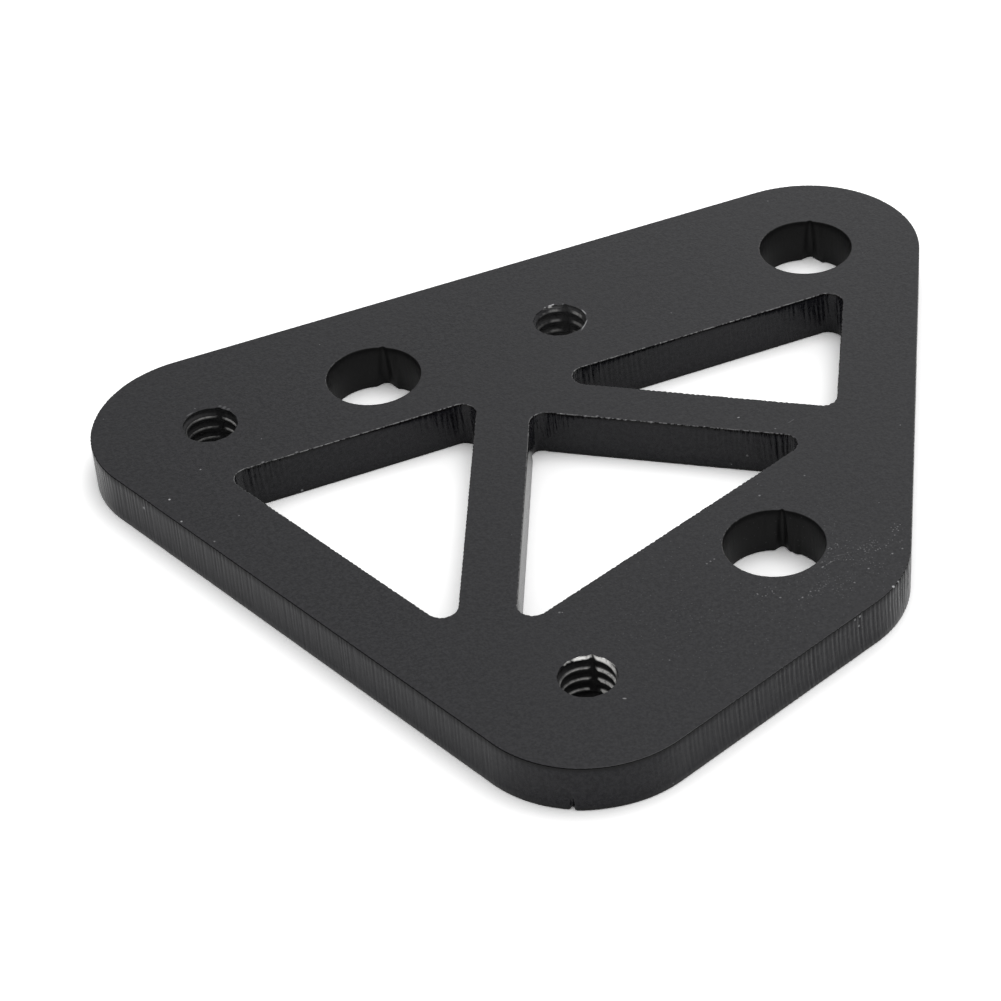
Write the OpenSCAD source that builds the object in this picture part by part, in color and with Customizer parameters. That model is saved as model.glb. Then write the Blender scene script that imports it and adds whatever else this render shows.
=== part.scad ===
// Throttle cable bracket: one flat steel plate, cut to its outline with three triangular windows,
// three plain fixing holes and three tapped holes, then powder coated and tapped.
// Millimetres. The origin is the centre of the left fixing hole on the underside. +X runs along the
// back row of holes, +Y towards the back edge, and +Z up to the top face.

/* [Plate] */
// Thickness of the plate with its coat
plate_t = 5; // [3:0.1:8]
// Radius of the four outer corners
corner_r = 12; // [9:0.1:14]

/* [Fixing holes] */
// Distance between any two of the three fixing holes, which stand in an equal triangle
fixing_spacing = 49; // [47:0.5:56]
// Diameter of the fixing holes
fixing_d = 9.65; // [6:0.05:12]

/* [Tapped holes] */
// Distance from the left fixing hole out to the left tapped hole, along the back row
left_tap_x = 17.7; // [15:0.1:22]
// Distance from the left fixing hole in to the middle tapped hole, along the back row
middle_tap_x = 20.5; // [16:0.1:26]
// Distance of the front tapped hole to the right of the left fixing hole
front_tap_x = 1.4; // [-2:0.1:4]
// Distance of the front tapped hole in front of the back row
front_tap_y = 51.5; // [49:0.1:58]
// Diameter of the tapped holes at the crests of their threads
tap_bore_d = 5.1; // [3:0.05:7]

/* [Rails and windows] */
// Width of the back rail, from the back edge to the windows
back_rail_w = 20.55; // [18:0.05:23]
// Width of the left rail
left_rail_w = 7.95; // [6:0.05:10]
// Width of the right rail
right_rail_w = 7.75; // [6:0.05:10]
// Width of the front rail
front_rail_w = 21.2; // [18:0.05:23]
// Width of the left strut, which runs to the left front corner of the windows
left_strut_w = 5.5; // [3:0.05:7]
// Width of the right strut, which runs to the right front corner of the windows
right_strut_w = 5.25; // [3:0.05:7]
// Where the middle line of the left strut leaves the back rail, from the left fixing hole
left_strut_x = 11; // [9:0.1:13]
// Where the middle line of the right strut leaves the back rail, from the left fixing hole
right_strut_x = 10.4; // [9:0.1:13]
// Radius of the window corners
window_r = 1.5; // [0.5:0.1:2.5]
// How far the heel, the right front corner, stands out beyond its fixing hole
heel_out = 0.8; // [0:0.1:2]

/* [Hidden] */
$fn = 96;
// Length by which a cutter passes each face
over = 1;

// Hole centres
fixing_at = [
    [0, 0],
    [fixing_spacing, 0],
    fixing_spacing * [cos(60), -sin(60)]
];
tapped_at = [
    [-left_tap_x, 0],
    [middle_tap_x, 0],
    [front_tap_x, -front_tap_y]
];

// Centres of the outer corners, counter-clockwise from the right back one
corners = [
    fixing_at[1],
    tapped_at[0],
    tapped_at[2],
    fixing_at[2] + heel_out * [cos(45), -sin(45)]
];

// A line is [normal, offset]: its points p have normal * p = offset
function normal_of(v) = [v[1], -v[0]] / norm(v);
function line_beside(a, b, gap) = [normal_of(b - a), normal_of(b - a) * a + gap];
function moved(l, gap) = [l[0], l[1] + gap];
function flipped(l) = [-l[0], -l[1]];
function meeting(l, m) =
    [l[1] * m[0][1] - m[1] * l[0][1], m[1] * l[0][0] - l[1] * m[0][0]]
    / (l[0][0] * m[0][1] - l[0][1] * m[0][0]);

// Outer edges, each with its normal pointing out of the plate
back_edge = line_beside(corners[0], corners[1], corner_r);
left_edge = line_beside(corners[1], corners[2], corner_r);
front_edge = line_beside(corners[2], corners[3], corner_r);
right_edge = line_beside(corners[3], corners[0], corner_r);

// Inner edges of the four rails
back_rail = moved(back_edge, -back_rail_w);
left_rail = moved(left_edge, -left_rail_w);
front_rail = moved(front_edge, -front_rail_w);
right_rail = moved(right_edge, -right_rail_w);

// Struts fan out from the back rail to the front corners between the rails
function on_back_rail(x) = [x, (back_rail[1] - back_rail[0][0] * x) / back_rail[0][1]];
left_strut = line_beside(meeting(left_rail, front_rail), on_back_rail(left_strut_x), 0);
right_strut = line_beside(on_back_rail(right_strut_x), meeting(front_rail, right_rail), 0);

// Edges of each window, counter-clockwise, with their normals pointing out of the window
left_window = [back_rail, left_rail, moved(left_strut, -left_strut_w / 2)];
middle_window = [
    front_rail,
    moved(flipped(right_strut), -right_strut_w / 2),
    moved(flipped(left_strut), -left_strut_w / 2)
];
right_window = [back_rail, moved(right_strut, -right_strut_w / 2), right_rail];

// Closed outline of straight edges with a round corner wherever two of them meet
module rounded(edges, r) {
    n = len(edges);
    centres = [for (i = [0:n - 1]) meeting(moved(edges[(i + n - 1) % n], -r), moved(edges[i], -r))];
    polygon([
        for (i = [0:n - 1], before = [true, false])
            centres[i] + r * edges[before ? (i + n - 1) % n : i][0]
    ]);
    for (centre = centres)
        translate(centre)
            circle(r);
}

// Holes of one size that pass right through the plate
module holes(places, d) {
    for (place = places)
        translate([place[0], place[1], -over])
            cylinder(d = d, h = plate_t + 2 * over);
}

module bracket_plate() {
    color([0.06, 0.06, 0.06])
        difference() {
            linear_extrude(plate_t)
                difference() {
                    rounded([back_edge, left_edge, front_edge, right_edge], corner_r);
                    rounded(left_window, window_r);
                    rounded(middle_window, window_r);
                    rounded(right_window, window_r);
                }
            holes(fixing_at, fixing_d);
            holes(tapped_at, tap_bore_d);
        }
}

bracket_plate();
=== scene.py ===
import math

import bmesh
import bpy
from mathutils import Matrix, Vector, noise


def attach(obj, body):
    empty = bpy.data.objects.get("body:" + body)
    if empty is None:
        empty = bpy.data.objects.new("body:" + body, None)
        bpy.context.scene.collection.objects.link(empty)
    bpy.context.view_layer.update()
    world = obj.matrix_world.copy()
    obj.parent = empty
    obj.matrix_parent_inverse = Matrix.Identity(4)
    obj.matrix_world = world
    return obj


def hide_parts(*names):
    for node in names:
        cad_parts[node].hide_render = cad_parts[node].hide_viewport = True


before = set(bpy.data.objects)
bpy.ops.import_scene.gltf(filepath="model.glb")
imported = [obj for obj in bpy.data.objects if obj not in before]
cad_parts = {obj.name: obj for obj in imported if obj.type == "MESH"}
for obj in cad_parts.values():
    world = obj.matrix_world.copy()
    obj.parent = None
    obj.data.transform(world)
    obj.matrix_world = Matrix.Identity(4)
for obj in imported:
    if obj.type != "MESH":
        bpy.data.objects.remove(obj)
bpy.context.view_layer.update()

# The studio camera: a long lens on a stand in front of the left end of the plate, looking down at
# it. It was found from the plate's edges and holes, so the render lies on the photograph.
aim = Vector((0.0039456, -0.0247425, 0.005))
stand_off = 0.2940861
azimuth, elevation, tilt = (math.radians(a) for a in (-18.8457, 38.7134, -5.3039))
sensor_width = 36
focal_pixels, frame_pixels = 3054.365, 1001
back = Vector(
    (
        math.sin(azimuth) * math.cos(elevation),
        -math.cos(azimuth) * math.cos(elevation),
        math.sin(elevation),
    )
)
level = Vector((0, 0, 1)).cross(back).normalized()
upright = back.cross(level)
right = math.cos(tilt) * level + math.sin(tilt) * upright
up = math.cos(tilt) * upright - math.sin(tilt) * level
camera_data = bpy.data.cameras.new("studio_camera")
camera_data.sensor_width = sensor_width
camera_data.lens = focal_pixels / frame_pixels * sensor_width
camera_data.clip_start, camera_data.clip_end = 0.01, 10
camera = bpy.data.objects.new("studio_camera", camera_data)
camera.matrix_world = Matrix.Translation(aim + stand_off * back) @ Matrix(
    (right, up, back)
).transposed().to_4x4()
bpy.context.scene.collection.objects.link(camera)
bpy.context.scene.camera = camera

# The outline of the plate: 5 mm steel plate cut by a torch along four rounded corners, with three
# triangular windows and three fixing holes. Each cut is drawn as a closed run on the underside.
mm = 0.001
thickness = 5 * mm
pitch_along_cut = 0.097 * mm
fixing_holes = [Vector((x * mm, y * mm, 0)) for x, y in ((0, 0), (49, 0), (24.5, -42.435))]
fixing_r = 4.825 * mm
corner_r = 12 * mm
window_r = 1.5 * mm
corner_centres = [
    Vector((x * mm, y * mm, 0))
    for x, y in ((49, 0), (-17.7, 0), (1.4, -51.5), (25.066, -43.001))
]
window_corners = [
    ((7.97, -8.55), (-18.85, -8.55), (-6.96, -40.62)),
    ((-1.97, -42.93), (34.96, -29.67), (11.99, -12.95)),
    ((49.11, -8.55), (14.86, -8.55), (39.23, -26.29)),
]


def inside_corners(points, radius):
    """Centres of the circles that round the corners of a window from inside."""
    corners = [Vector((x * mm, y * mm, 0)) for x, y in points]
    centres = []
    for i, corner in enumerate(corners):
        one = (corners[i - 1] - corner).normalized()
        other = (corners[(i + 1) % len(corners)] - corner).normalized()
        half = one.angle(other) / 2
        centres.append(corner + (one + other).normalized() * radius / math.sin(half))
    return centres


def cut_run(mesh, centres, radius):
    """Spins an arc round each centre, joins the arcs and returns the run of vertices in order.

    Each vertex comes with its stage, which is the number of its corner, plus 0 to 0.5 on the arc
    and 0.5 to 1 on the straight after it.
    """
    arcs = []
    for i, centre in enumerate(centres):
        way_in = (centre - centres[i - 1]).normalized()
        way_out = (centres[(i + 1) % len(centres)] - centre).normalized()
        turn = way_in.angle(way_out)
        first = mesh.verts.new(centre + radius * Vector((way_in.y, -way_in.x, 0)))
        steps = max(8, round(turn * radius / pitch_along_cut))
        bmesh.ops.spin(
            mesh, geom=[first], cent=centre, axis=(0, 0, 1), angle=turn, steps=steps
        )
        arcs.append(walk(first))
    run = []
    for i, arc in enumerate(arcs):
        start, end = arc[-1], arcs[(i + 1) % len(arcs)][0]
        way = end.co - start.co
        steps = round(way.length / pitch_along_cut)
        bmesh.ops.spin(
            mesh,
            geom=[start],
            cent=start.co,
            axis=(0, 0, 1),
            dvec=way / steps,
            angle=0,
            steps=steps - 1,
        )
        straight = walk(start, since=arc[-2])
        mesh.edges.new((straight[-1], end))
        run += [(v, i + 0.5 * n / len(arc)) for n, v in enumerate(arc)]
        run += [(v, i + 0.5 + 0.5 * n / len(straight)) for n, v in enumerate(straight) if n]
    return run


def walk(first, since=None):
    """The vertices of an open chain of edges in order, from its first vertex."""
    chain = [first]
    before, here = since, first
    while True:
        ahead = [e.other_vert(here) for e in here.link_edges]
        ahead = [v for v in ahead if v is not before]
        if not ahead:
            return chain
        before, here = here, ahead[0]
        chain.append(here)


def round_hole(mesh, centre, radius):
    """A full circle as a run of vertices in order; its stage is the angle in turns."""
    steps = round(math.tau * radius / pitch_along_cut)
    made = bmesh.ops.create_circle(mesh, segments=steps, radius=radius)["verts"]
    bmesh.ops.translate(mesh, verts=made, vec=centre)

    def turns(v):
        return math.atan2(v.co.y - centre.y, v.co.x - centre.x) / math.tau % 1

    return [(v, turns(v)) for v in sorted(made, key=turns)]


plate = bmesh.new()
runs = {"outline": cut_run(plate, corner_centres, corner_r)}
for number, points in enumerate(window_corners):
    runs["window", number] = cut_run(plate, inside_corners(points, window_r), window_r)
for number, centre in enumerate(fixing_holes):
    runs["fixing", number] = round_hole(plate, centre, fixing_r)

# The cut faces: the torch leaves drag lines that deepen round the corners, a slight taper on the
# left, a pierce groove in each fixing hole and a nick in the front corner, and blasting breaks the
# edges. Depths and places along a cut are in mm, and heights go from 0 at the bottom to 1.
lip = 0.09 * mm
lip_rows = ((0, 1), (0.25, 0.35), (1, 0))
wall_rows = 7
rib_spacing = 0.56
outline_trail = ((0, 0.5), (1.1, 0.2), (2, 0.15), (2.5, 0.5), (4, 0.5))
outline_foot = ((0, 0.5), (1.1, 0.1), (2, 0.1), (2.5, 0.5), (4, 0.5))
opening_trail, opening_foot = -0.5, 0.2
heel_from = 2.4
left_taper = ((0, 0), (1.3, 0), (1.5, 0.18), (2, 0.18), (2.2, 0), (4, 0))
nick_angle = math.radians(-120.8)
nick_depth, nick_height, nick_reach = 0.42, 0.45, 0.3
pulled_lip, pulled_length = 0.1, 3
pierce = {0: (59, 14), 1: (58, 13), 2: (55.5, 10)}
pierce_top, pierce_bottom = 0.2, 0.42
burr_depth, burr_turn, burr_width = 0.15, 17, 6

# How deep the drag lines are at each stage of a cut.
rib_depths = {
    "outline": (
        (0, 0.04), (0.5, 0.03), (1, 0.02), (1.15, 0.035), (1.3, 0.05), (1.5, 0.04),
        (1.6, 0.03), (2, 0.022), (2.4, 0.02), (2.6, 0.04), (2.85, 0.06), (3, 0.07),
        (3.5, 0.08), (3.7, 0.07), (4, 0.04),
    ),
    ("window", 0): (
        (0, 0.15), (0.5, 0.13), (0.62, 0.04), (0.7, 0.015), (0.88, 0.015), (0.95, 0.1),
        (1.5, 0.1), (1.6, 0.06), (2, 0.07), (3, 0.06),
    ),
    ("window", 1): (
        (0, 0.06), (0.5, 0.08), (1, 0.08), (1.3, 0.15), (1.55, 0.13), (1.65, 0.05),
        (1.75, 0.015), (1.92, 0.015), (2, 0.12), (2.5, 0.07), (2.55, 0.01), (2.95, 0.01),
        (3, 0.05),
    ),
    ("window", 2): (
        (0, 0.15), (0.5, 0.14), (0.65, 0.08), (0.72, 0.02), (0.85, 0.03), (1, 0.11),
        (1.5, 0.09), (2, 0.11), (3, 0.09),
    ),
    "fixing": ((0, 0.014), (1, 0.014)),
}


def between(table, value):
    """Reads a value from a table of (place, value) pairs, in a straight line between them."""
    for (a, low), (b, high) in zip(table, table[1:]):
        if value <= b:
            return low + (high - low) * max(0, value - a) / (b - a)
    return table[-1][1]


def hump(offset, half_width):
    """1 in the middle, falling smoothly to 0 at half_width."""
    part = min(1, abs(offset) / half_width)
    return 0.5 + 0.5 * math.cos(math.pi * part)


def clamped(value):
    return max(0, min(1, value))


def rib_depth(kind, stage):
    return between(rib_depths["fixing" if kind[0] == "fixing" else kind], stage)


def trailing(kind, along, stage, height):
    """The place along the cut where the drag line through this point starts at the top."""
    trail = between(outline_trail, stage) if kind == "outline" else opening_trail
    return along - trail * (1 - height) ** 2


def drag_lines(kind, along, stage, height):
    """How far the face stands below (-) the crests of the drag lines at a place along the cut."""
    place = trailing(kind, along, stage, height)
    seed = sum(kind.encode()) if kind == "outline" else 7 * kind[1]
    wander = noise.noise(Vector((place / 1.7, 0, seed)))
    even = kind == "outline" and stage > heel_from
    uneven = 1.4 if even else (6 if kind == "outline" else 2.8)
    valley = (0.5 + 0.5 * math.cos(math.tau * place / rib_spacing + uneven * wander)) ** 1.4
    weakest = 0.5 if even else 0.15
    each = max(weakest, min(1, 0.6 + 1.4 * noise.noise(Vector((place / 0.8, 1.3, seed)))))
    fine = noise.noise(Vector((place / 0.2, height * 1.5, seed)))
    foot = between(outline_foot, stage) if kind == "outline" else opening_foot
    fade = foot + (1 - foot) * clamped((height - 0.08) / 0.5)
    if kind[0] == "window" and (1 < stage < 2.5 if kind[1] == 1 else stage < 1.5):
        fade *= 0.1 + 0.9 * min(1, (1 - height) / 0.3)
    return -rib_depth(kind, stage) * max(0, fade * each * valley + 0.3 * (0.7 - fine))


def relief(kind, along, stage, height):
    """How far the cut face lies outside (+) or inside (-) of its line at a height."""
    ribs = drag_lines(kind, along, stage, height)
    if kind == "outline":
        past_nick = along - nick_at
        low = max(0, 1 - height / nick_height)
        taper = between(left_taper, stage) * height
        nick = nick_depth * low * hump(past_nick, nick_reach) if past_nick < nick_reach else 0
        risen = clamped((past_nick - 0.25) / 0.2)
        faded = max(0, 1 - (past_nick - nick_reach) / pulled_length)
        return ribs - taper - nick + pulled_lip * low**0.3 * risen * faded
    if kind[0] == "window":
        sharper = 0.45 * (1 - height) * hump(stage - 2.25, 0.25) if kind[1] == 1 else 0
        return sharper - ribs
    middle, half_width = pierce[kind[1]]
    angle = stage * 360 - middle
    depth = pierce_top + pierce_bottom * (1 - height) ** 1.3
    groove = hump(angle, half_width * (0.4 + 0.6 * (1 - height) ** 0.7))
    burr = burr_depth * (1 - height) * hump(angle + burr_turn, burr_width)
    return depth * groove - burr - ribs


def spot(point):
    """A place on the plate, rounded so that it can be looked up."""
    return round(point.x * 1e7), round(point.y * 1e7)


columns = {}
for kind, run in runs.items():
    inwards = 1 if kind == "outline" else -1
    along = 0
    for i, (vert, stage) in enumerate(run):
        before, after = run[i - 1][0].co, run[(i + 1) % len(run)][0].co
        way = (after - before).normalized()
        columns[spot(vert.co)] = (kind, along, stage, Vector((way.y, -way.x, 0)), inwards)
        along += (after - vert.co).length / mm
front_corner = corner_centres[2]
nick_vert = min(
    (vert for vert, stage in runs["outline"]),
    key=lambda v: abs(math.atan2(v.co.y - front_corner.y, v.co.x - front_corner.x) - nick_angle),
)
nick_at = columns[spot(nick_vert.co)][1]

row_heights = [lip * part for part, drop in lip_rows]
row_drops = [lip * drop for part, drop in lip_rows]
row_heights += [lip + (thickness - 2 * lip) * n / wall_rows for n in range(1, wall_rows)]
row_drops += [0] * (wall_rows - 1)
row_heights += [thickness - lip * part for part, drop in reversed(lip_rows)]
row_drops += [lip * drop for part, drop in reversed(lip_rows)]

raised = bmesh.ops.extrude_edge_only(plate, edges=plate.edges[:])["geom"]
raised = [g for g in raised if isinstance(g, bmesh.types.BMVert)]
bmesh.ops.translate(plate, verts=raised, vec=(0, 0, thickness))
upright_edges = [e for e in plate.edges if abs(e.verts[0].co.z - e.verts[1].co.z) > thickness / 2]
last_row = len(row_heights) - 1
bmesh.ops.subdivide_edges(plate, edges=upright_edges, cuts=last_row - 1, use_grid_fill=True)
where = {}
for vert in plate.verts:
    row = round(vert.co.z / thickness * last_row)
    kind, along, stage, outwards, inwards = columns[spot(vert.co)]
    height = row_heights[row] / thickness
    away = relief(kind, along, stage, height) * mm - inwards * row_drops[row]
    vert.co = Vector((vert.co.x, vert.co.y, 0)) + away * outwards
    vert.co.z = row_heights[row]
    from_face = min(row, last_row - row)
    # Painted shade: the rounded top and bottom edges of the cuts are marked to be darkened.
    lip_shade = 0.5 if from_face == 0 else (1 if from_face < 3 else 0)
    # The fixing holes are marked for painted shade inside them.
    in_bore = 1 if kind[0] == "fixing" else 0
    # Painted glints: pale chips along the top edges of the openings, most on the far edges that
    # catch the light.
    edge_wear_and_glint = 0
    if row >= last_row - 1 and kind != "outline":
        edge_wear_and_glint = 0.5 * hump(stage * 360 - 150, 60) if in_bore else 0.25 + 0.75 * max(0, outwards.y)
    start, ribs = trailing(kind, along, stage, height), rib_depth(kind, stage)
    where[vert] = (lip_shade, start, row_heights[row] / mm, ribs, in_bore, edge_wear_and_glint)
lip_shade_mark = plate.loops.layers.float.new("lip")
bare_and_highlit_mark = plate.loops.layers.float.new("bare_and_highlit")
hole_shade_mark = plate.loops.layers.float.new("inside")
edge_wear_and_glint_mark = plate.loops.layers.float.new("edge_wear_and_glint")
cut_mark = plate.loops.layers.float_vector.new("cut_place")
for face in plate.faces:
    face.smooth = True
    starts = [where[corner.vert][1] for corner in face.loops]
    for corner in face.loops:
        lip_shade, start, height, ribs, in_bore, edge_wear_and_glint = where[corner.vert]
        if max(starts) - min(starts) > 20:
            start = max(starts)
        corner[lip_shade_mark] = lip_shade
        corner[hole_shade_mark] = in_bore
        corner[edge_wear_and_glint_mark] = edge_wear_and_glint
        corner[cut_mark] = (start, height, 10 * ribs)

# The three tapped holes: quarter inch threads of twenty to the inch, tapped a little off the middle
# of holes that were countersunk first. The coat lies in the grooves and is worn off the crests.
# The coat numbers set how far painted shade darkens the grooves inside each hole. The two angle
# tables say how bare the crests and the rim are, at angles in degrees round the hole; the bare steel
# is painted near white as its highlight, and the crest table also makes the crests brighter on the
# side that catches the light.
thread_pitch = 1.27 * mm
thread_steps = 90
thread_rows = 14
tapped_holes = [
    {
        "centre": Vector((-17.5 * mm, -0.07 * mm, 0)),
        "turn": 0.01,
        "off_middle": 0.03,
        "sink": 2.82,
        "lean": (0.07, 180),
        "rim_width": 0.12,
        "coat": 0.5,
        "dull": 0.012,
        "band": (0.12, 0.1),
        "worn_and_lit": (
            (-60, 0.2), (0, 0.3), (15, 0.6), (40, 0.5), (46, 0.1), (70, 0.15), (78, 0.35),
            (108, 0.3), (125, 0.12),
        ),
        "rim": (
            (-180, 0.2), (-160, 0.3), (-150, 0.3), (-145, 0), (98, 0), (102, 0.2), (110, 0.2),
            (114, 0), (130, 0), (135, 0.3), (140, 0), (180, 0.2),
        ),
    },
    {
        "centre": Vector((20.7 * mm, -0.07 * mm, 0)),
        "turn": 0.38,
        "off_middle": 0.05,
        "sink": 2.76,
        "lean": (0.12, 105),
        "rim_width": 0.13,
        "coat": 0.25,
        "dull": 0.03,
        "band": (0.17, 0.15),
        "worn_and_lit": (
            (-60, 0.05), (8, 0.05), (14, 0.3), (34, 0.3), (42, 0.02), (66, 0.02), (74, 0.25),
            (90, 0.25), (97, 0.06), (130, 0.15),
        ),
        "rim": (
            (-60, 0.2), (-45, 0.8), (-18, 0.8), (-12, 0), (-6, 0.1), (2, 0.9), (12, 0.8), (18, 0),
            (64, 0), (67, 0.3), (72, 0.3), (75, 0), (83, 0), (86, 1), (93, 1), (96, 0.1),
            (100, 0.1), (102, 0.7), (105, 0),
        ),
    },
    {
        "centre": Vector((1.4 * mm, -51.5 * mm, 0)),
        "turn": 0.675,
        "off_middle": 0.12,
        "sink": 2.8,
        "lean": (0.1, -60),
        "rim_width": 0.28,
        "coat": 0.6,
        "dull": 0.012,
        "band": (0.21, 0.12),
        "worn_and_lit": (
            (-60, 0.1), (-14, 0.1), (0, 1), (44, 1), (50, 0.1), (62, 0.1), (68, 0.7), (95, 0.6),
            (110, 0.4), (140, 0.25),
        ),
        "rim": (
            (-22, 0), (-18, 0.4), (-12, 0.1), (0, 0.15), (12, 0.5), (22, 1), (50, 1), (57, 0.2),
            (62, 1), (92, 0.9), (96, 0.4), (101, 0.1), (106, 0.6), (110, 0.1), (116, 0.5),
            (122, 0),
        ),
    },
]
notch_angle = 57
root_r, foot_r = 2.9 * mm, 2.44 * mm
crest_in_mm = 2.56


def groove_depth(away):
    """Radius of the cut thread, at a distance along the hole from the middle of a crest."""
    return min(root_r, 2.488 * mm + (abs(away) - thread_pitch / 8) * math.sqrt(3))


for hole in tapped_holes:
    thread = bmesh.new()
    rise = thread_pitch / thread_rows
    low = thread.verts.new((2.8 * mm, 0, -thread_pitch - 5 * rise))
    lengths = math.ceil((thickness + 3 * thread_pitch) / rise)
    for n in range(lengths):
        high = bmesh.ops.extrude_vert_indiv(thread, verts=[low])["verts"]
        bmesh.ops.translate(thread, verts=high, vec=(0, 0, rise))
        low = high[0]
    bmesh.ops.spin(
        thread,
        geom=thread.verts[:] + thread.edges[:],
        cent=(0, 0, 0),
        axis=(0, 0, 1),
        dvec=(0, 0, thread_pitch / thread_steps),
        angle=math.tau,
        steps=thread_steps,
    )
    bmesh.ops.remove_doubles(thread, verts=thread.verts[:], dist=0.002 * mm)
    crests = thread.verts.layers.float.new("crest")
    lean, lean_to = hole["lean"]
    for vert in thread.verts:
        angle = math.degrees(math.atan2(vert.co.y, vert.co.x))
        height = vert.co.z / thickness
        below = thickness - vert.co.z
        notch = hump(angle - notch_angle, 10)
        crest = crest_in_mm + hole["off_middle"] * math.cos(math.radians(angle + 30))
        crest = (crest + (0.15 + 0.25 * height) * notch) * mm
        turns = (vert.co.z - thickness) / thread_pitch - angle / 360 - hole["turn"]
        away = ((turns + 0.5) % 1 - 0.5) * thread_pitch
        crest += 0.5 * max(-0.3 * mm, min(0.3 * mm, away))
        sink = (hole["sink"] + lean * math.cos(math.radians(angle - lean_to))) * mm
        sunk = sink - thickness + vert.co.z + 0.15 * notch * mm
        radius = min(max(groove_depth(away), crest, sunk), sunk + 3 * below)
        radius = min(radius, foot_r + 1.2 * max(0, vert.co.z - 0.2 * mm))
        half_width = hole["band"][0 if angle < 55 else 1]
        # Bare crests, painted near white as highlight, brighter on the side that catches the light.
        rubbed_and_lit = min(1, 1.8 * hump(away / mm - 0.05, half_width))
        rubbed_and_lit *= between(hole["worn_and_lit"], angle) * (1.3 - 0.5 * height)
        if abs(angle - notch_angle + 6 * (1 - height)) < 4 + 10 * (1 - height):
            rubbed_and_lit *= 0.05
        rubbed_and_lit = min(1, max(rubbed_and_lit, hole["dull"]))
        # A bare rim, painted near white as highlight where it catches the light.
        rim = between(hole["rim"], angle)
        on_rim = below / mm < hole["rim_width"] * min(1, 1.5 * rim)
        vert[crests] = max(rim * on_rim, rubbed_and_lit * (radius > sunk))
        moved = Vector((radius * vert.co.x, radius * vert.co.y, 0)) / vert.co.xy.length
        vert.co = moved + Vector((0, 0, vert.co.z))
    for height, side in ((thickness, 1), (0, -1)):
        bmesh.ops.bisect_plane(
            thread,
            geom=thread.verts[:] + thread.edges[:] + thread.faces[:],
            dist=1e-8,
            plane_co=(0, 0, height),
            plane_no=(0, 0, side),
            clear_outer=True,
        )
    bmesh.ops.translate(thread, verts=thread.verts[:], vec=hole["centre"])
    bare_and_highlit_mark = thread.loops.layers.float.new("bare_and_highlit")
    hole_shade_mark = thread.loops.layers.float.new("inside")
    for face in thread.faces:
        face.smooth = True
        for corner in face.loops:
            corner[bare_and_highlit_mark] = corner.vert[crests]
            # Painted shade darkens the grooves inside the hole.
            corner[hole_shade_mark] = hole["coat"]
    thread.verts.layers.float.remove(crests)
    made = bpy.data.meshes.new("thread")
    thread.to_mesh(made)
    thread.free()
    plate.from_mesh(made)
    bpy.data.meshes.remove(made)

# The two flat faces of the plate close the cuts at the top and at the underside. They are filled
# with the plate turned a little, because holes in line with an axis can spoil the fill.
turned = Matrix.Rotation(0.7, 3, "Z")
bmesh.ops.rotate(plate, cent=(0, 0, 0), matrix=turned, verts=plate.verts[:])
for height in (0, thickness):
    rim = [
        e
        for e in plate.edges
        if e.is_boundary and all(abs(v.co.z - height) < 1e-7 for v in e.verts)
    ]
    filled = bmesh.ops.triangle_fill(
        plate, edges=rim, use_beauty=True, use_dissolve=False, normal=(0, 0, 1)
    )
    for part in filled["geom"]:
        if isinstance(part, bmesh.types.BMFace):
            part.smooth = False
bmesh.ops.rotate(plate, cent=(0, 0, 0), matrix=turned.transposed(), verts=plate.verts[:])
bmesh.ops.recalc_face_normals(plate, faces=plate.faces[:])
plate_mesh = bpy.data.meshes.new("cable_bracket")
plate.to_mesh(plate_mesh)
plate.free()
bracket = bpy.data.objects.new("cable_bracket", plate_mesh)
bpy.context.scene.collection.objects.link(bracket)


# The finish: a thin satin black powder coat over blasted steel, with a fine grain, specks of dust
# and a few rubbed marks, and bare steel where it is worn through on crests and edges. Painted light
# is mixed in: painted shade on the rounded edges and inside the holes, painted glints on the far
# edges and rims, and the bare steel is painted near white as its highlight.
class Signal:
    """A socket of a node tree. Maths on it adds Math nodes, and make() adds any other node."""

    def __init__(self, socket):
        self.socket = socket
        self.tree = socket.id_data

    def make(self, kind, settings, inputs, output=0):
        made = self.tree.nodes.new("ShaderNode" + kind)
        for name, value in settings.items():
            setattr(made, name, value)
        for name, value in inputs.items():
            if isinstance(value, Signal):
                self.tree.links.new(value.socket, made.inputs[name])
            else:
                made.inputs[name].default_value = value
        return Signal(made.outputs[output]) if made.outputs else None

    def maths(self, operation, *values):
        return self.make("Math", {"operation": operation}, dict(enumerate(values)))

    def __add__(self, other):
        return self.maths("ADD", self, other)

    def __sub__(self, other):
        return self.maths("SUBTRACT", self, other)

    def __rsub__(self, other):
        return self.maths("SUBTRACT", other, self)

    def __mul__(self, other):
        return self.maths("MULTIPLY", self, other)

    def __gt__(self, other):
        return self.maths("GREATER_THAN", self, other)

    __radd__ = __add__
    __rmul__ = __mul__

    def over(self, low, high):
        """Rises smoothly from 0 at low to 1 at high."""
        return self.make(
            "MapRange",
            {"interpolation_type": "SMOOTHSTEP"},
            {"Value": self, "From Min": low, "From Max": high},
        )

    def blend(self, first, second):
        """The first colour where self is 0 and the second where it is 1."""
        return self.make("Mix", {"data_type": "RGBA"}, {0: self, 6: first, 7: second}, 2)


black_valleys, black_peaks = (0.0030, 0.0030, 0.0048, 1), (0.0160, 0.0160, 0.0182, 1)
hazy_black = (0.011, 0.011, 0.013, 1)
# Painted shade on the rounded edges.
edge_shade_black = (0.001, 0.001, 0.001, 1)
# Painted shade inside the fixing and tapped holes.
hole_shade_black = (0.002, 0.002, 0.002, 1)
# Pale dust, also used for painted glints on rims and edges.
dust_and_glint_grey = (0.45, 0.45, 0.46, 1)
# Pale chips that also stand for painted glints on the far edges.
chip_and_glint_grey = (0.4, 0.4, 0.4, 1)
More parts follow.
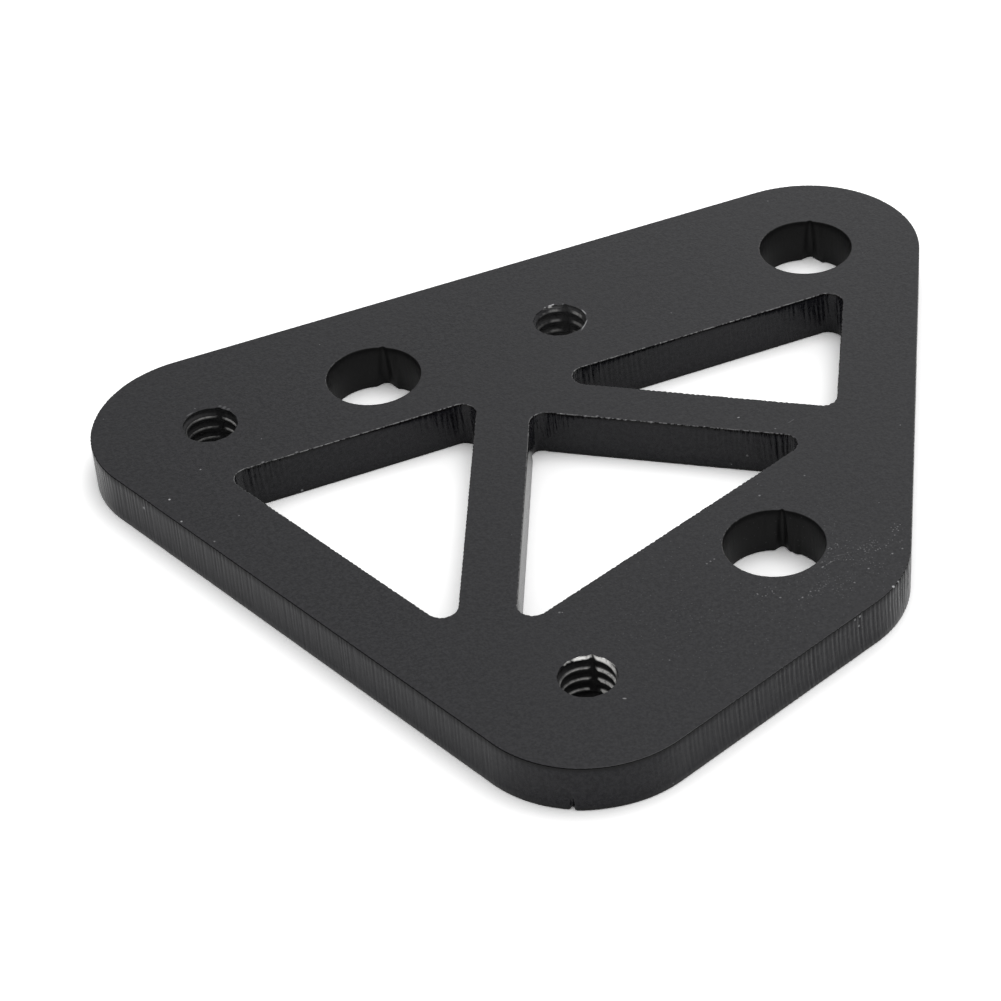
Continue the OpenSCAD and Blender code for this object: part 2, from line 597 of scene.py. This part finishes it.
# Bare steel painted near white as its highlight.
bare_steel_highlight = (0.97, 0.96, 0.94, 1)
coat = bpy.data.materials.new("powder_coat")
coat.use_nodes = True
coat.node_tree.nodes.clear()
place = Signal(coat.node_tree.nodes.new("ShaderNodeTexCoord").outputs["Object"])


def cloudy(size, detail=2.0, roughness=0.5):
    """Noise from 0 to 1 with patches of about that size."""
    return place.make(
        "TexNoise",
        {},
        {"Vector": place, "Scale": 1 / size, "Detail": detail, "Roughness": roughness},
        "Fac",
    )


def marked(name, output="Fac"):
    return place.make("Attribute", {"attribute_name": name}, {}, output)


def speck(x, y, long, wide=None, turned=0, height=5):
    """1 on a small mark at a place in mm on the plate, long and wide in mm, 0 elsewhere."""
    local = place.make(
        "Mapping",
        {"vector_type": "TEXTURE"},
        {
            "Vector": place,
            "Location": (x * mm, y * mm, height * mm),
            "Rotation": (0, 0, math.radians(turned)),
            "Scale": (long * mm, (wide or long) * mm, 0.3 * mm),
        },
        "Vector",
    )
    far = local.make("VectorMath", {"operation": "LENGTH"}, {0: local}, "Value")
    return 1 - far.over(0.25, 0.6)


def dots(size, share, spread):
    """1 on small dots, one in each cell of that size; share of the cells have one."""
    settings, inputs = {"feature": "F1"}, {"Vector": place, "Scale": 1 / (size * mm)}
    cell = place.make("TexVoronoi", settings, inputs, "Color")
    chosen = cell.make("SeparateColor", {}, {"Color": cell}, "Red") > (1 - share)
    far = place.make("TexVoronoi", settings, inputs, "Distance")
    return (1 - far.over(0.5 * spread, spread)) * chosen


def distance_to(x, y):
    """Distance in metres from a place in mm on the top of the plate."""
    settings, inputs = {"operation": "DISTANCE"}, {0: place, 1: (x * mm, y * mm, thickness)}
    return place.make("VectorMath", settings, inputs, "Value")


grain = cloudy(0.26 * mm, 3, 0.65) * 0.62 + cloudy(0.5 * mm, 2) * 0.38
peel = cloudy(0.9 * mm, 2)
film = cloudy(14 * mm, 3)
at_heel = 1 - distance_to(29.5, -48.3).over(3 * mm, 7 * mm)
near_front = 1 - distance_to(19, -46).over(6 * mm, 24 * mm)

# Dust and scuffs: a thin scatter, more of it towards the front, the scuffed heel, and single marks,
# some of which are painted glints on rims and edges.
scattered = dots(1.5, 0.12, 0.06) * 0.3
sprinkled = dots(0.4, 0.45, 0.2) * near_front * 0.1
scuffed = dots(0.24, 0.5, 0.32) * at_heel * cloudy(1.5 * mm).over(0.46, 0.56) * 0.16
for mark in (
    (24.55, -50.25, 4.1, 1.2, 20), (28.75, -47.7, 4.8, 1.0, -19), (32.5, -47.2, 6.4, 1.4, -7),
    (29.2, -45.6, 2.5, 1.0, 15), (35.6, -46, 3, 1.6, 60), (20.6, -48.4, 3, 1.5, 0),
):
    scuffed = scuffed + dots(0.27, 0.55, 0.34) * speck(*mark) * 0.3
dust_and_glints = scattered + sprinkled + scuffed
# Single marks: dust specks, and painted glints along the far edges of the windows and the rims of
# the tapped holes.
for strength, mark in (
    (1, (-24.88, -9.7, 0.24)), (0.8, (-24.85, -13.51, 0.22)), (0.5, (-20.69, -6.57, 0.2)),
    (0.3, (-22.91, -17.9, 0.22)), (0.6, (29.9, -23.48, 0.3, 0.16)),
    (0.12, (34.2, -26.4, 1.1, 0.12, 20)), (0.25, (32.32, -26.77, 0.2)),
    (0.5, (3.22, -55.76, 0.4, 0.18, -35)), (0.4, (26.95, -47.62, 0.3, 0.16, 15)),
    (0.15, (27.9, -47.35, 0.8, 0.12, 12)), (0.4, (30.6, -49.73, 0.2)),
    (0.45, (33.56, -48.82, 0.2)), (0.35, (34.72, -48.6, 0.2)), (0.35, (26.37, -35.46, 0.24)),
    (0.35, (23.35, -50.64, 0.2)), (0.35, (24.38, -50.22, 0.18)), (0.3, (28.54, -50.91, 0.2)),
    (0.3, (21.56, -49.73, 0.22)), (0.3, (2.6, -42.44, 0.24)), (0.25, (31.54, -34.68, 0.2)),
    (0.1, (29.06, -46.8, 1.5, 0.1, -8)), (1, (31.44, -53.03, 0.3)), (0.6, (32.18, -52.61, 0.24)),
    (0.5, (26.97, -55.04, 0.3, 0.3, 0, 4.7)), (0.35, (26.34, -55.26, 0.26, 0.26, 0, 4.7)),
    (0.5, (26.84, -55.08, 0.3, 0.3, 0, 3.6)), (0.6, (-27.25, -8.31, 0.4, 0.4, 0, 3.8)),
    (0.6, (-11.28, -8.53, 0.3, 0.3, 0, 0.3)), (0.25, (29.65, -25.81, 0.3, 0.3, 0, 1.9)),
    # Painted glints on the rims of the middle and left tapped holes and the far edges of the
    # windows.
    (1, (20.8, 2.9, 0.5, 0.2, 5)), (1, (21.12, 2.93, 0.36, 0.2, 0)), (0.4, (20.2, 2.85, 0.24)),
    (0.3, (22.1, 2.5, 0.24)), (0.3, (-11.24, -8.36, 0.36, 0.24)),
    (0.3, (-14.76, -8.32, 0.36, 0.24)), (0.25, (30.36, -8.66, 0.36, 0.24)),
    (0.3, (16.51, -16.22, 0.36, 0.24)), (0.25, (17.57, -16.77, 0.36, 0.24)),
    (0.25, (18.5, -17.62, 0.36, 0.24)), (0.3, (19.78, -18.66, 0.36, 0.24)),
    (0.35, (21.93, -20.15, 0.36, 0.24)), (0.5, (22.62, -1.95, 2.0, 0.2, 48)),
    (0.5, (23.5, 0.2, 1.1, 0.2, 95)), (0.25, (17.6, -42.3, 0.2)), (0.3, (18.05, -42.15, 0.2)),
    (0.25, (18.5, -42.02, 0.2)), (0.15, (-15.38, 2.05, 0.5, 0.4, 45)),
    (0.12, (-15.72, 2.47, 0.4)), (0.12, (-15.1, 1.6, 0.4)), (0.2, (-18.9, 2.6, 1.0, 0.16, 20)),
):
    dust_and_glints = dust_and_glints + speck(*mark) * strength
dust_and_glints = dust_and_glints.maths("MINIMUM", dust_and_glints, 1.0)
inside = marked("inside")
bare_and_highlit = marked("bare_and_highlit") * (0.6 + 0.4 * cloudy(0.45 * mm, 3).over(0.36, 0.52))
# Painted shade on the rounded edges, half as strong inside the fixing holes.
painted_edge_shade = marked("lip").over(0.4, 0.9) * (1 - inside * 0.5)
# Painted glints: pale chips along the top edges of the openings.
chips_and_glints = cloudy(0.3 * mm, 3).over(0.38, 0.6) * 0.36 + cloudy(0.5 * mm, 3).over(0.6, 0.68) * 0.5
chips_and_glints = chips_and_glints * marked("edge_wear_and_glint")
tone = grain.over(0.36, 0.64).blend(black_valleys, black_peaks)
tone = (film.over(0.3, 0.7) * 0.3).blend(tone, hazy_black)
tone = (painted_edge_shade * 0.8).blend(tone, edge_shade_black)
# Painted shade inside the holes.
tone = (inside * 0.85).blend(tone, hole_shade_black)
tone = (dust_and_glints * 0.8).blend(tone, dust_and_glint_grey)
tone = chips_and_glints.blend(tone, chip_and_glint_grey)
# Bare steel painted near white as its highlight.
tone = bare_and_highlit.blend(tone, bare_steel_highlight)
height = grain * 0.5 + peel * 0.5
on_cut = place.make("SeparateXYZ", {}, {"Vector": marked("cut_place", "Vector")}, 0)
up_cut = Signal(on_cut.socket.node.outputs[1])
ribs = Signal(on_cut.socket.node.outputs[2])
drawn = place.make("CombineXYZ", {}, {"X": on_cut * 3.2, "Y": up_cut * 0.3, "Z": 0.5}, "Vector")
drag = place.make(
    "TexNoise",
    {},
    {"Vector": drawn, "Scale": 1.0, "Detail": 2.0, "Roughness": 0.6},
    "Fac",
)
polish = ribs.over(0.03, 0.1)
height = height * (1 - polish * 0.6) + ribs * (drag - 0.5) * 2.2
bump = place.make(
    "Bump", {}, {"Strength": 1.0, "Distance": 0.045 * mm, "Height": height}, "Normal"
)
sheen = 0.36 + grain * 0.12 + dust_and_glints * 0.3 - polish * 0.31 + inside * 0.35 * (1 - bare_and_highlit)
shader = place.make(
    "BsdfPrincipled",
    {},
    {
        "Base Color": tone,
        "Metallic": bare_and_highlit * 0.1,
        "Roughness": sheen,
        "Specular IOR Level": 0.25,
        "Normal": bump,
    },
    "BSDF",
)
place.make("OutputMaterial", {}, {"Surface": shader})
plate_mesh.materials.append(coat)
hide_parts("bracket_plate")
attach(bracket, "root")

# The white table that the plate lies on. The camera sees it as overexposed paper, with the soft
# shadow of the plate left on it.
table = bmesh.new()
bmesh.ops.create_circle(table, cap_ends=True, segments=96, radius=2)
bmesh.ops.translate(table, verts=table.verts[:], vec=(0, 0, -0.02 * mm))
table_mesh = bpy.data.meshes.new("table")
table.to_mesh(table_mesh)
table.free()
paper = bpy.data.materials.new("white_paper")
paper.use_nodes = True
paper.node_tree.nodes.clear()
seen = Signal(paper.node_tree.nodes.new("ShaderNodeLightPath").outputs["Is Camera Ray"])
mirrored = Signal(seen.socket.node.outputs["Is Glossy Ray"])
white = seen.blend((0.8, 0.8, 0.8, 1), (1.25, 1.25, 1.25, 1))
white = mirrored.blend(white, (0.77, 0.77, 0.77, 1))
matt = white.make("BsdfDiffuse", {}, {"Color": white}, "BSDF")
matt.make("OutputMaterial", {}, {"Surface": matt})
table_mesh.materials.append(paper)
floor = bpy.data.objects.new("table", table_mesh)
bpy.context.scene.collection.objects.link(floor)

# The light: a white room behind the plate, dimmer on the side of the camera and to the left, and one
# big soft box above the plate and a little to the right.
room = bpy.data.worlds.new("studio_room")
bpy.context.scene.world = room
room.use_nodes = True
room.node_tree.nodes.clear()
aim_at = Signal(room.node_tree.nodes.new("ShaderNodeTexCoord").outputs["Generated"])
behind = aim_at.make(
    "VectorMath", {"operation": "DOT_PRODUCT"}, {0: aim_at, 1: (0.1, 0.9, 0.25)}, "Value"
)
to_right = aim_at.make(
    "VectorMath", {"operation": "DOT_PRODUCT"}, {0: aim_at, 1: (1, 0, 0)}, "Value"
)
seen = Signal(room.node_tree.nodes.new("ShaderNodeLightPath").outputs["Is Camera Ray"])
mirrored = Signal(seen.socket.node.outputs["Is Glossy Ray"])
walls = (0.35 + 0.65 * behind.over(-0.1, 0.55)) * (0.32 + 1.09 * to_right.over(-0.3, 0.6))
strength = seen.maths("MAXIMUM", seen, mirrored * walls + (1 - mirrored) * 0.8)
glow = strength.make(
    "Background", {}, {"Color": (1, 1, 1, 1), "Strength": strength}, "Background"
)
glow.make("OutputWorld", {}, {"Surface": glow})

box_data = bpy.data.lights.new("soft_box", "AREA")
box_data.shape = "RECTANGLE"
box_data.size, box_data.size_y = 0.42, 0.42
box_data.energy = 1.65
box = bpy.data.objects.new("soft_box", box_data)
box_at = Vector((0.16, 0.0, 0.6))
facing = (box_at - aim).to_track_quat("Z", "Y").to_matrix().to_4x4()
box.matrix_world = Matrix.Translation(box_at) @ facing
bpy.context.scene.collection.objects.link(box)

view_settings = bpy.context.scene.view_settings
view_settings.view_transform = "Standard"
